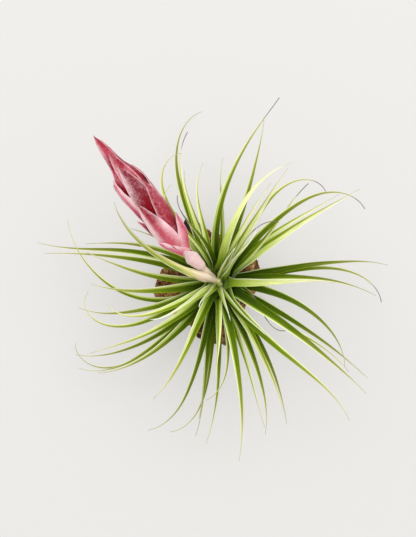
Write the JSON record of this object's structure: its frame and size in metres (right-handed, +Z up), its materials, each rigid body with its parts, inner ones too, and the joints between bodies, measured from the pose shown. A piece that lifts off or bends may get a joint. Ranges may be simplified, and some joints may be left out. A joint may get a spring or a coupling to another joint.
{
  "type": "air plant on cork bark",
  "caption": "Air plant with a rosette of narrow channelled green leaves and a leaning pink bract spike, on a flat-bottomed chunk of cork bark that rests on a surface.",
  "frame": {"origin": "foot of the stem's axis on the bark's flat underside, where the part rests", "axes": "+Z up along the stem; +Y towards the top of the picture, +X towards its right; the flower spike leans towards -X and +Y"},
  "size_m": [0.1947, 0.1962, 0.1139],
  "materials": {
    "cork": "rough, dry cork, tan to dark brown",
    "stem_skin": "dry, fibrous stem skin",
    "leaf_green": "satin green leaf with fine pale scales",
    "young_green": "satin pale green young leaf",
    "scape_pink": "satin pale pink and beige stalk and its bracts",
    "bract_rose": "satin rose-pink bract"
  },
  "bodies": {
    "root": {"cork_bark": "cork", "stem": "stem_skin", "leaf_01": "leaf_green", "leaf_02": "leaf_green", "leaf_03": "leaf_green", "leaf_04": "leaf_green", "leaf_05": "leaf_green", "leaf_06": "leaf_green", "leaf_07": "leaf_green", "leaf_08": "leaf_green", "leaf_09": "leaf_green", "leaf_10": "leaf_green", "leaf_11": "leaf_green", "leaf_12": "leaf_green", "leaf_13": "leaf_green", "leaf_14": "leaf_green", "leaf_15": "leaf_green", "leaf_16": "leaf_green", "leaf_17": "leaf_green", "leaf_18": "leaf_green", "leaf_19": "leaf_green", "leaf_20": "leaf_green", "leaf_21": "leaf_green", "leaf_22": "leaf_green", "leaf_23": "leaf_green", "leaf_24": "leaf_green", "leaf_25": "leaf_green", "leaf_26": "leaf_green", "leaf_27": "leaf_green", "leaf_28": "leaf_green", "leaf_29": "leaf_green", "leaf_30": "leaf_green", "leaf_31": "leaf_green", "leaf_32": "leaf_green", "leaf_33": "leaf_green", "leaf_34": "leaf_green", "leaf_35": "leaf_green", "leaf_36": "leaf_green", "leaf_37": "leaf_green", "leaf_38": "leaf_green", "leaf_39": "leaf_green", "leaf_40": "leaf_green", "leaf_41": "leaf_green", "leaf_42": "leaf_green", "leaf_43": "leaf_green", "leaf_44": "leaf_green", "leaf_45": "leaf_green", "leaf_46": "leaf_green", "leaf_47": "leaf_green", "leaf_48": "leaf_green", "leaf_49": "leaf_green", "leaf_50": "leaf_green", "leaf_51": "leaf_green", "leaf_52": "leaf_green", "leaf_53": "leaf_green", "heart": "young_green", "scape": "scape_pink", "scape_bract_1": "scape_pink", "scape_bract_2": "scape_pink", "flower_spike": "bract_rose"}
  },
  "joints": []
}
